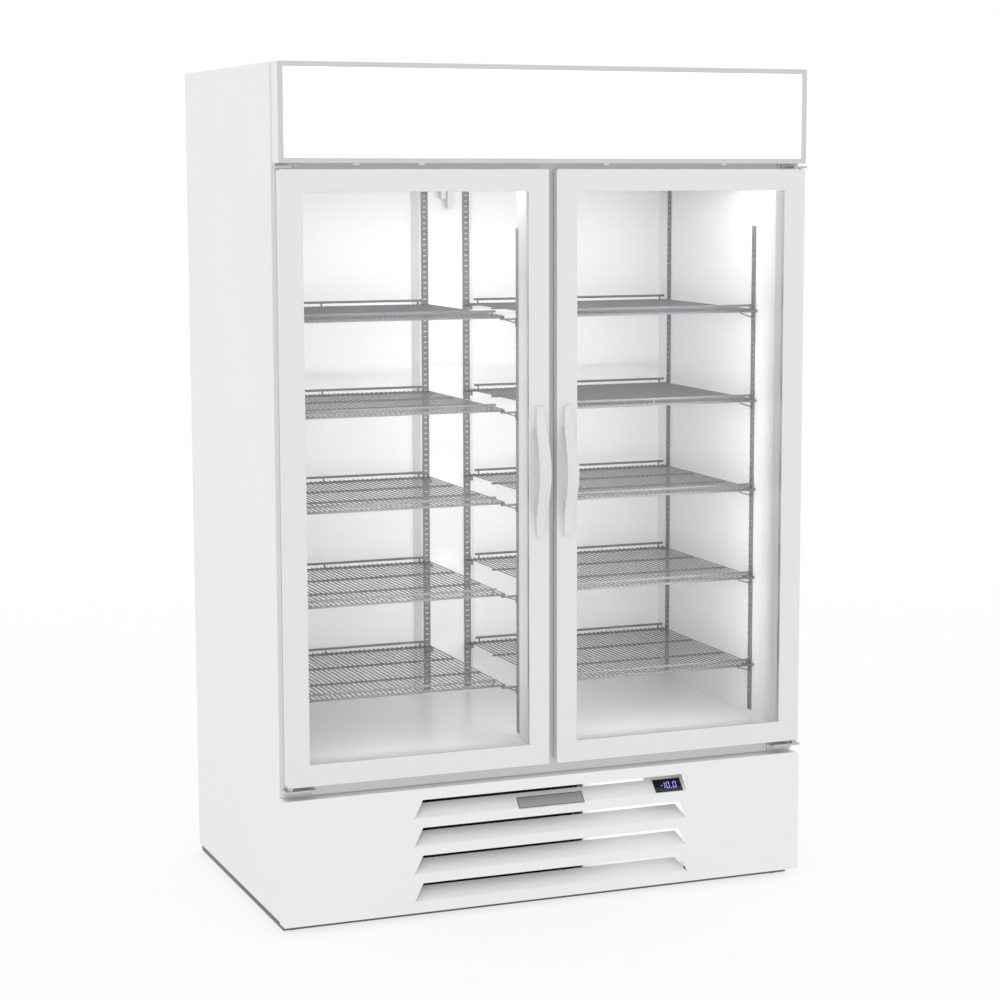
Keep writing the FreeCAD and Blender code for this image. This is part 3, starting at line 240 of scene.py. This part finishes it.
def backlit_acrylic(name, colour, strength):
    """Opal acrylic lit from behind, with a brightness that drifts by a few percent."""
    surface = Surface(name, colour, 0.25)
    surface.relief(0.25, 0.0001, 1)
    surface.glow((1, 1, 1), strength)
    waves = surface.noise(0.4, 1, (4, 1, 0.6))
    surface.links.new(surface.spread(waves, strength * 0.97, strength * 1.03),
                      surface.shader.inputs["Emission Strength"])
    return surface


PANE_TINT = (0.993, 0.9935, 0.994)    # share of light that one face lets through
PANE_IOR = 1.22                       # below plain glass, as for a coated pane


def clear_glass(name):
    """Coated glass: sharp but weak reflections over an almost clear pane.

    Light isn't bent inside the pane, so only the faces turned to the viewer reflect. Otherwise
    the far faces would trap all light at flat angles.
    """
    surface = Surface(name, (0.95, 0.955, 0.96), 0.02)
    clear = surface.nodes.new("ShaderNodeBsdfTransparent")
    clear.inputs["Color"].default_value = (*PANE_TINT, 1)
    shine = surface.nodes.new("ShaderNodeBsdfGlossy")
    shine.inputs["Roughness"].default_value = 0.01
    facing = surface.nodes.new("ShaderNodeFresnel")
    facing.inputs["IOR"].default_value = PANE_IOR
    smear = surface.spread(surface.noise(0.2, 2), 0.9, 1.1)
    share = surface.nodes.new("ShaderNodeMath")
    share.operation = "MULTIPLY"
    surface.links.new(facing.outputs["Fac"], share.inputs[0])
    surface.links.new(smear, share.inputs[1])
    behind = surface.nodes.new("ShaderNodeNewGeometry").outputs["Backfacing"]
    near_only = surface.nodes.new("ShaderNodeMath")
    near_only.operation = "MULTIPLY_ADD"
    near_only.inputs[1].default_value = -1
    near_only.inputs[2].default_value = 1
    surface.links.new(behind, near_only.inputs[0])
    reflecting = surface.nodes.new("ShaderNodeMath")
    reflecting.operation = "MULTIPLY"
    surface.links.new(share.outputs["Value"], reflecting.inputs[0])
    surface.links.new(near_only.outputs["Value"], reflecting.inputs[1])
    mix = surface.nodes.new("ShaderNodeMixShader")
    surface.links.new(reflecting.outputs["Value"], mix.inputs["Fac"])
    surface.links.new(clear.outputs["BSDF"], mix.inputs[1])
    surface.links.new(shine.outputs["BSDF"], mix.inputs[2])
    surface.links.new(mix.outputs["Shader"], surface.output.inputs["Surface"])
    return surface


# ---- materials of the record's slots --------------------------------------------------------
def slot_surfaces():
    """One surface for each material slot of the record."""
    return {
        "white_paint": powder_coat("white_paint", (0.79, 0.795, 0.80)),
        "white_liner": powder_coat("white_liner", (0.86, 0.865, 0.87), 0.3),
        "white_trim": moulded_plastic("white_trim", (0.70, 0.705, 0.71), 0.34),
        "door_white": powder_coat("door_white", (0.715, 0.72, 0.725), 0.3),
        # The grey trim's glow is painted light: it lightens the shaded strip under the sign and
        # the gaps between the doors, as bounced light would.
        "grey_trim": moulded_plastic("grey_trim", (0.37, 0.373, 0.376)).glow((1, 1, 1), 0.24),
        "gasket": soft_rubber("gasket", (0.50, 0.505, 0.51)),
        "clear_glass": clear_glass("clear_glass"),
        "spacer": brushed_metal("spacer", (0.62, 0.63, 0.64), 0.35, (1, 1, 30)),
        "sign_face": backlit_acrylic("sign_face", (0.9, 0.9, 0.9), 0.6),
        "lamp": backlit_acrylic("lamp", (0.9, 0.9, 0.9), 6.0),
        "base_steel": powder_coat("base_steel", (0.10, 0.10, 0.105), 0.45),
        "foam": foam("foam", (0.80, 0.70, 0.45)),
        "hinge_steel": brushed_metal("hinge_steel", (0.55, 0.56, 0.57)),
        "bushing": moulded_plastic("bushing", (0.05, 0.05, 0.055)),
        "grey_wire": coated_wire("grey_wire", (0.205, 0.21, 0.215)),
        "grey_pilaster": coated_wire("grey_pilaster", (0.24, 0.245, 0.25)),
        "fin_stock": brushed_metal("fin_stock", (0.66, 0.67, 0.68), 0.4, (1, 1, 20)),
        "black_fin": powder_coat("black_fin", (0.018, 0.018, 0.02), 0.5),
        "galvanised": galvanised_steel("galvanised", (0.55, 0.56, 0.57)),
        "motor": cast_enamel("motor", (0.03, 0.03, 0.033)),
        "fan_plastic": moulded_plastic("fan_plastic", (0.03, 0.03, 0.033)),
        "compressor_black": cast_enamel("compressor_black", (0.012, 0.012, 0.013)),
        "copper": copper_pipe("copper", (0.78, 0.40, 0.24)),
        "black_rubber": soft_rubber("black_rubber", (0.015, 0.015, 0.016)),
        "pan_plastic": moulded_plastic("pan_plastic", (0.08, 0.08, 0.085)),
        "display_black": moulded_plastic("display_black", (0.006, 0.006, 0.008), 0.12),
        "badge_metal": brushed_metal("badge_metal", (0.36, 0.363, 0.37), 0.4, metallic=0.25),
        "foot_black": moulded_plastic("foot_black", (0.02, 0.02, 0.022), 0.5),
    }


SURFACES = slot_surfaces()
OWN_SURFACES = {           # nodes whose surface differs from that of their slot
    "sign_frame": moulded_plastic("sign_frame_grey", (0.57, 0.575, 0.58), 0.36),
    # The box's white is partly painted light: with the lamp in front of it, it makes the louvre
    # gaps look bright, as light seen through the compartment would.
    "electrical_box": powder_coat("box_white", (0.86, 0.865, 0.87), 0.4),
}


def dress_cad_nodes():
    """Give each CAD node its own surface, or else the one of its material slot."""
    for part in frame["record"]["subparts"]:
        surface = OWN_SURFACES.get(part["node"], SURFACES[part["material_slot"]])
        mesh = NODES[part["node"]].data
        mesh.materials.clear()
        mesh.materials.append(surface.material)


# ---- soft edges on the CAD pieces -----------------------------------------------------------
EDGE_RADIUS = {            # millimetres
    "door_frame_left": 1.6, "door_frame_right": 1.6,
    "sign_frame": 1.2, "sign_panel": 0.5,
    "breaker_frame": 1.0, "center_mullion": 0.9,
    "display_module": 0.5, "badge_plate": 0.4,
    "side_panel_left": 0.3, "side_panel_right": 0.3, "top_panel": 0.3, "back_panel": 0.3,
    "header_housing": 0.3, "inner_liner": 0.3, "rear_duct": 0.3,
    "condensate_pan": 0.5, "air_sensor": 0.6, "compressor": 0.8,
    "door_gasket_left": 0.8, "door_gasket_right": 0.8,
}
SHARP_ANGLE = math.radians(30)
FLAT_ANGLE = math.radians(0.5)
WELD_DISTANCE = 0.01 * MM


def soften_edges():
    """Round sharp edges with modifiers, by EDGE_RADIUS, and leave the CAD meshes as they are."""
    for name, radius in EDGE_RADIUS.items():
        node = NODES[name]
        weld = node.modifiers.new("weld", "WELD")
        weld.merge_threshold = WELD_DISTANCE
        flat = node.modifiers.new("flat", "DECIMATE")
        flat.decimate_type = "DISSOLVE"
        flat.angle_limit = FLAT_ANGLE
        bevel = node.modifiers.new("bevel", "BEVEL")
        bevel.width = radius * MM
        bevel.segments = 3
        bevel.limit_method = "ANGLE"
        bevel.angle_limit = SHARP_ANGLE
        bevel.harden_normals = True


# ---- flat places on CAD faces ---------------------------------------------------------------
def face_frame(node, toward):
    """Matrix of the largest flat face looking toward a direction, with its width and height.

    The face's x runs along +X, its z points out of the face and its origin is its centre.
    """
    mesh = NODES[node].data
    toward = Vector(toward).normalized()
    groups = {}
    for polygon in mesh.polygons:
        key = tuple(round(c, 2) for c in polygon.normal)
        if polygon.normal.dot(toward) > 0.5:
            groups.setdefault(key, []).append(polygon)
    best = max(groups.values(), key=lambda faces: sum(f.area for f in faces))
    out = best[0].normal.copy()
    across = Vector((1, 0, 0))
    up = out.cross(across).normalized()
    corners = [mesh.vertices[v].co for face in best for v in face.vertices]
    xs = [c.dot(across) for c in corners]
    ys = [c.dot(up) for c in corners]
    centre = (across * (min(xs) + max(xs)) / 2 + up * (min(ys) + max(ys)) / 2
              + out * corners[0].dot(out))
    matrix = Matrix((across, up, out)).transposed().to_4x4()
    matrix.translation = centre
    return matrix, max(xs) - min(xs), max(ys) - min(ys)


def new_piece(name, build, surface, body):
    """Mesh object from a bmesh that build fills in, riding on a body."""
    mesh = bpy.data.meshes.new(name)
    shape = bmesh.new()
    build(shape)
    bmesh.ops.recalc_face_normals(shape, faces=shape.faces)
    shape.to_mesh(mesh)
    shape.free()
    piece = bpy.data.objects.new(name, mesh)
    bpy.context.scene.collection.objects.link(piece)
    mesh.materials.append(surface.material)
    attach(piece, body)


def add_slab(shape, outline, low, high, matrix):
    """Closed slab from a flat outline, between two heights, placed by a matrix."""
    bottom = [shape.verts.new(matrix @ Vector((x, y, low))) for x, y in outline]
    top = [shape.verts.new(matrix @ Vector((x, y, high))) for x, y in outline]
    shape.faces.new(list(reversed(bottom)))
    shape.faces.new(top)
    count = len(outline)
    for i in range(count):
        j = (i + 1) % count
        shape.faces.new((bottom[i], bottom[j], top[j], top[i]))


# ---- display digits -------------------------------------------------------------------------
DIGIT_SLANT = 0.1          # sideways shift for each unit of height
DIGIT_HEIGHT = 0.46        # share of the face's height
STROKE_WIDTH = 0.12        # share of the digits' height
SEGMENT_GAP = 0.15         # share of the stroke
DOT_SIZE = 0.6             # half the dot's side, as a share of the stroke
DIGIT_LOW, DIGIT_HIGH = 0.02 * MM, 0.25 * MM     # above the display's face
READING = "-10.0"
READING_START = 0.22       # share of the face's width
READING_END = 0.81         # share of the face's width
SEGMENTS = {"0": "abcdef", "1": "bc", "-": "g"}
# Middle of the left stroke to middle of the right one, as a share of the digits' height.
GLYPH_WIDTH = {"0": 0.42, "1": 0.0, "-": 0.34, ".": 0.0}


def segment_outline(kind, width, height, stroke):
    """Six-sided bar of a seven-segment digit, in the digit's own plane."""
    half_w, half_h, s = width / 2, height / 2, stroke / 2
    gap = stroke * SEGMENT_GAP
    if kind in "adg":
        y = {"a": half_h, "d": -half_h, "g": 0}[kind]
        a, b = -half_w + gap, half_w - gap
        return [(a, y), (a + s, y + s), (b - s, y + s), (b, y), (b - s, y - s), (a + s, y - s)]
    x = half_w if kind in "bc" else -half_w
    low, high = (0, half_h) if kind in "bf" else (-half_h, 0)
    low, high = low + gap, high - gap
    return [(x, low), (x + s, low + s), (x + s, high - s), (x, high), (x - s, high - s),
            (x - s, low + s)]


def display_digits():
    """Lit temperature reading on the black display, spread over part of its width."""
    plane, width, height = face_frame("display_module", (0, -1, 1))
    digit_h = height * DIGIT_HEIGHT
    stroke = digit_h * STROKE_WIDTH
    widths = [GLYPH_WIDTH[c] * digit_h for c in READING]
    gap = (width * (READING_END - READING_START) - stroke - sum(widths)) / (len(READING) - 1)

    def build(shape):
        x = width * (READING_START - 0.5) + stroke / 2
        for character, glyph_w in zip(READING, widths):
            if character == ".":
                y, half = -digit_h / 2, stroke * DOT_SIZE
                outlines = [[(-half, y - half), (half, y - half), (half, y + half),
                             (-half, y + half)]]
            else:
                outlines = [segment_outline(kind, glyph_w, digit_h, stroke)
                            for kind in SEGMENTS[character]]
            for outline in outlines:
                slanted = [(x + glyph_w / 2 + u + v * DIGIT_SLANT, v) for u, v in outline]
                add_slab(shape, slanted, DIGIT_LOW, DIGIT_HIGH, plane)
            x += glyph_w + gap

    glow = moulded_plastic("display_light", (0.20, 0.22, 0.6)).glow((0.27, 0.30, 0.93), 1.0)
    new_piece("display_digits", build, glow, "cabinet")


# ---- badge ----------------------------------------------------------------------------------
RIM_WIDTH = 1.6 * MM
RIM_INSET = 0.3 * MM                             # from the plate's edge
RIM_SLOPE = 0.3 * MM                             # width of the rim's slanting sides
RIM_LOW, RIM_HIGH = -0.2 * MM, 0.5 * MM          # from the plate's face


def badge_rim():
    """Raised darker rim around the blank badge plate."""
    plane, width, height = face_frame("badge_plate", (0, -1, 1))
    half_w, half_h = width / 2 - RIM_INSET, height / 2 - RIM_INSET

    def corners(inset, level):
        x, y = half_w - inset, half_h - inset
        return [plane @ Vector(p) for p in ((-x, -y, level), (x, -y, level), (x, y, level),
                                            (-x, y, level))]

    def build(shape):
        profile = ((0, RIM_LOW), (RIM_SLOPE, RIM_HIGH), (RIM_WIDTH - RIM_SLOPE, RIM_HIGH),
                   (RIM_WIDTH, RIM_LOW))
        rings = [[shape.verts.new(p) for p in corners(inset, level)]
                 for inset, level in profile]
        for a, b in zip(rings, rings[1:] + rings[:1]):
            for i in range(4):
                j = (i + 1) % 4
                shape.faces.new((a[i], a[j], b[j], b[i]))

    dark = brushed_metal("badge_rim", (0.16, 0.163, 0.168), 0.4)
    new_piece("badge_rim", build, dark, "cabinet")


# ---- stage: floor, light and camera ---------------------------------------------------------
FLOOR_SIZE = 60.0
FLOOR_FADE_START = 1.6     # metres from the middle, where the floor starts to turn plain white
FLOOR_FADE_END = 5.0       # and where it's plain white
FLOOR_OWN_LIGHT = 0.75     # share of plain white close to the object, which thins its shadow


def pale_floor():
    """Pale matte floor that fades to the white surroundings away from the object."""
    bpy.ops.mesh.primitive_plane_add(size=FLOOR_SIZE, location=(0, 0, cad_bounds[0][2]))
    floor = bpy.context.object
    floor.name = "floor"
    surface = Surface("floor", (0.93, 0.93, 0.93), 0.9, specular=0.1)
    surface.relief(0.01, 0.0001)
    distance = surface.nodes.new("ShaderNodeVectorMath")
    distance.operation = "LENGTH"
    surface.links.new(surface.place, distance.inputs[0])
    away = surface.spread(distance.outputs["Value"], FLOOR_OWN_LIGHT, 1, FLOOR_FADE_START,
                          FLOOR_FADE_END)
    white = surface.nodes.new("ShaderNodeEmission")
    mix = surface.nodes.new("ShaderNodeMixShader")
    surface.links.new(away, mix.inputs["Fac"])
    surface.links.new(surface.shader.outputs["BSDF"], mix.inputs[1])
    surface.links.new(white.outputs["Emission"], mix.inputs[2])
    surface.links.new(mix.outputs["Shader"], surface.output.inputs["Surface"])
    floor.data.materials.append(surface.material)


def area_light(name, place, target, size, power):
    """Rectangular soft light that looks at a target, unseen itself and in reflections."""
    light = bpy.data.lights.new(name, "AREA")
    light.shape = "RECTANGLE"
    light.size, light.size_y = size
    light.energy = power
    lamp = bpy.data.objects.new(name, light)
    lamp.location = place
    lamp.rotation_euler = (Vector(target) - Vector(place)).to_track_quat("-Z", "Y").to_euler()
    bpy.context.scene.collection.objects.link(lamp)
    lamp.visible_camera = False
    lamp.visible_glossy = False


KEY_POWER = 20.0           # watts, here and below
FILL_POWER = 10.0
STUDIO_LIGHT_SIZE = (3, 3)
STUDIO_TARGET = (0, 0, 1.0)


def studio_light():
    """White surroundings and two large soft lights."""
    world = bpy.data.worlds.new("studio")
    world.use_nodes = True
    bpy.context.scene.world = world
    world.node_tree.nodes["Background"].inputs["Color"].default_value = (1, 1, 1, 1)
    world.node_tree.nodes["Background"].inputs["Strength"].default_value = 1.0
    area_light("key", (-2.6, -4.2, 3.6), STUDIO_TARGET, STUDIO_LIGHT_SIZE, KEY_POWER)
    area_light("fill", (3.4, -3.4, 2.2), STUDIO_TARGET, STUDIO_LIGHT_SIZE, FILL_POWER)


BAY_LAMP_POWER = 1.1
BAY_LAMP_WIDTH = 0.9       # share of half the lamp's length
BAY_LAMP_DEPTH = 0.03
BAY_LAMP_DROP = 0.35       # the lamps look this far down at the back wall
BAY_FILL_POWER = {"left": 2.4, "right": 3.1}
BAY_FILL_SHARE = (0.84, 1.05)      # of the shelves' width, and of the height from first to last
BOX_LIGHT_POWER = 0.2
BOX_LIGHT_GAP = 20 * MM
LIGHT_CLEARANCE = 8 * MM   # keeps a light off the face that it stands behind


def cabinet_light():
    """Lamp light from above the doors, soft light through them, and light behind the grille."""
    low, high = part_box("interior_lamp")
    y, z = high.y + LIGHT_CLEARANCE, low.z
    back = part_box("inner_liner")[1].y
    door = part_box("breaker_frame")[1].y + LIGHT_CLEARANCE
    shelf_low, shelf_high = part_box("shelves_right_bay")
    middle = (shelf_low.z + shelf_high.z) / 2
    width = (shelf_high.x - shelf_low.x) * BAY_FILL_SHARE[0]
    height = (shelf_high.z - shelf_low.z) * BAY_FILL_SHARE[1]
    for name, side in (("left", -1), ("right", 1)):
        x = side * high.x / 2
        area_light("bay_lamp_" + name, (x, y, z), (x, back, z - BAY_LAMP_DROP),
                   (high.x * BAY_LAMP_WIDTH, BAY_LAMP_DEPTH), BAY_LAMP_POWER)
        area_light("bay_fill_" + name, (x, door, middle), (x, back, middle), (width, height),
                   BAY_FILL_POWER[name])
    box_low, box_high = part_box("electrical_box")
    x, z = (box_low.x + box_high.x) / 2, (box_low.z + box_high.z) / 2
    area_light("box_light", (x, box_low.y - BOX_LIGHT_GAP, z), (x, box_low.y, z),
               (box_high.x - box_low.x, box_high.z - box_low.z), BOX_LIGHT_POWER)


LENS_MM = 89.80
SENSOR_MM = 36.0
CAMERA_SHIFT_X = -0.0558
CAMERA_PLACE = (-2.20559, -5.77071, 1.76114)
CAMERA_PITCH_DOWN = 7.55   # degrees
CAMERA_YAW = -22.34        # degrees from +Y, negative toward +X
TRANSPARENT_BOUNCES = 24   # more than the pane faces of both doors together


def camera():
    """Three-quarter view from the front left, slightly above the cabinet's middle."""
    data = bpy.data.cameras.new("camera")
    data.lens = LENS_MM
    data.sensor_width = SENSOR_MM
    data.shift_x = CAMERA_SHIFT_X
    view = bpy.data.objects.new("camera", data)
    view.location = CAMERA_PLACE
    view.rotation_euler = (math.radians(90 - CAMERA_PITCH_DOWN), 0, math.radians(CAMERA_YAW))
    bpy.context.scene.collection.objects.link(view)
    bpy.context.scene.camera = view


# ---- build ----------------------------------------------------------------------------------
dress_cad_nodes()
soften_edges()
display_digits()
badge_rim()
pale_floor()
studio_light()
cabinet_light()
camera()
bpy.context.scene.view_settings.view_transform = "Standard"
bpy.context.scene.cycles.transparent_max_bounces = TRANSPARENT_BOUNCES
